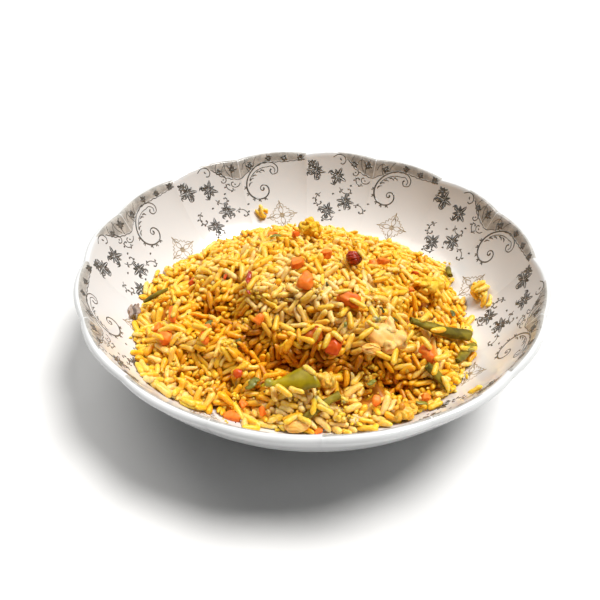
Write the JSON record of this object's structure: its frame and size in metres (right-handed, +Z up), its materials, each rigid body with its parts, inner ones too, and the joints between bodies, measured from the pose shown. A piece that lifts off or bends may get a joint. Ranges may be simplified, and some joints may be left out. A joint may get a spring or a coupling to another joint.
{
  "type": "bowl of fried rice",
  "caption": "Wide scalloped china bowl with a printed border, heaped with golden fried rice, chopped green beans, carrot, red pepper and meat; food for a table setting.",
  "frame": {"origin": "on the table, under the middle of the bowl", "axes": "+Z up out of the bowl; -Y towards the diner at the front"},
  "size_m": [0.2164, 0.2164, 0.0569],
  "materials": {
    "porcelain": "glossy white glaze with a grey, black and brown-gold printed border",
    "rice": "moist golden-yellow long-grain rice",
    "green_bean": "cooked green bean, satin",
    "carrot": "cooked orange carrot, satin",
    "red_pepper": "cooked red pepper, moist skin",
    "chicken": "cooked shredded meat, fibrous",
    "egg": "yellow-stained soft lump",
    "mushroom": "dark soft vegetable bit"
  },
  "bodies": {
    "root": {"bowl": "porcelain", "rice_heap": "rice", "rice_clump": "rice", "green_bean_front": "green_bean", "green_bean_right": "green_bean", "green_bean_side": "green_bean", "green_bean_low": "green_bean", "green_bean_toe": "green_bean", "green_bean_left": "green_bean", "green_bean_back": "green_bean", "carrot_top_left": "carrot", "carrot_top_front": "carrot", "carrot_top_right": "carrot", "carrot_middle": "carrot", "carrot_right": "carrot", "carrot_left_strip": "carrot", "carrot_left_low": "carrot", "carrot_left_middle": "carrot", "carrot_toe": "carrot", "pepper_front": "red_pepper", "pepper_middle": "red_pepper", "pepper_top": "red_pepper", "chilli_strip": "red_pepper", "chicken_middle": "chicken", "chicken_small": "chicken", "chicken_front": "chicken", "chicken_right": "chicken", "egg_right": "egg", "egg_back": "egg", "mushroom_left": "mushroom"}
  },
  "joints": []
}
